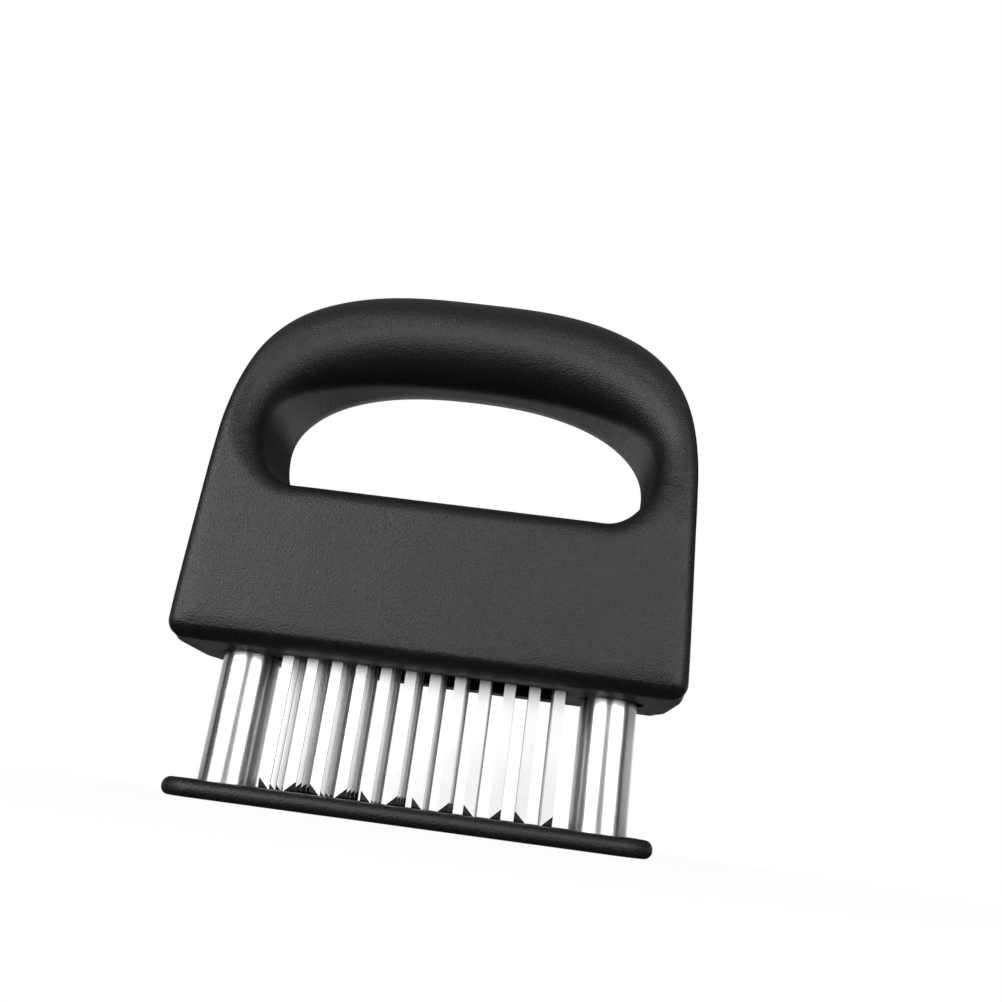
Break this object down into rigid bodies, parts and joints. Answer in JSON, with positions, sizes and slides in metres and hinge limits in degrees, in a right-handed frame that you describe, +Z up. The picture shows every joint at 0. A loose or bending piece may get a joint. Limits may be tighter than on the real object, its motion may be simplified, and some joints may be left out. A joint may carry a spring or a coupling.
{
  "type": "blade meat tenderizer",
  "caption": "Hand press with a D handle and rows of flat steel blades behind a sprung guard plate on two tube columns.",
  "frame": {"origin": "middle of the tool's footprint, on the surface that the guard plate stands on", "axes": "+X to the right, +Y to the back cover, +Z up to the handle"},
  "size_m": [0.122, 0.046, 0.139],
  "materials": {
    "housing_plastic": "fine spark-eroded texture",
    "guard_plastic": "satin",
    "inner_plastic": "as moulded",
    "bearing_plastic": "smooth",
    "column_steel": "polished along the tube",
    "blade_steel": "ground and polished",
    "pin_steel": "drawn",
    "spring_steel": "drawn wire",
    "screw_steel": "zinc plated"
  },
  "bodies": {
    "housing": {"front_shell": "housing_plastic", "back_shell": "housing_plastic", "shell_screws": "screw_steel", "blade_carrier": "inner_plastic", "blade_clamp_plate": "inner_plastic", "clamp_screws": "screw_steel", "blade_pins": "pin_steel", "blade_row_1": "blade_steel", "blade_row_2": "blade_steel", "blade_row_3": "blade_steel", "blade_row_4": "blade_steel", "friction_springs": "spring_steel", "left_spring": "spring_steel", "right_spring": "spring_steel", "left_spring_seat": "inner_plastic", "right_spring_seat": "inner_plastic"},
    "lock_slide": {"lock_carriage": "inner_plastic", "left_bushing": "bearing_plastic", "right_bushing": "bearing_plastic"},
    "guard": {"guard_plate": "guard_plastic", "guard_screws": "screw_steel", "left_column": "column_steel", "right_column": "column_steel", "left_collar": "screw_steel", "right_collar": "screw_steel", "left_foot_plug": "inner_plastic", "right_foot_plug": "inner_plastic"}
  },
  "joints": [
    {"name": "lock_shift", "type": "slide", "parent": "housing", "child": "lock_slide", "axis": [1, 0, 0], "range_m": [0, 0.0012]},
    {"name": "guard_slide", "type": "slide", "parent": "lock_slide", "child": "guard", "axis": [0, 0, 1], "range_m": [0, 0.0275], "stiffness_N_per_m": 300, "springref_m": -0.03, "deforming": ["left_spring", "right_spring"]}
  ]
}
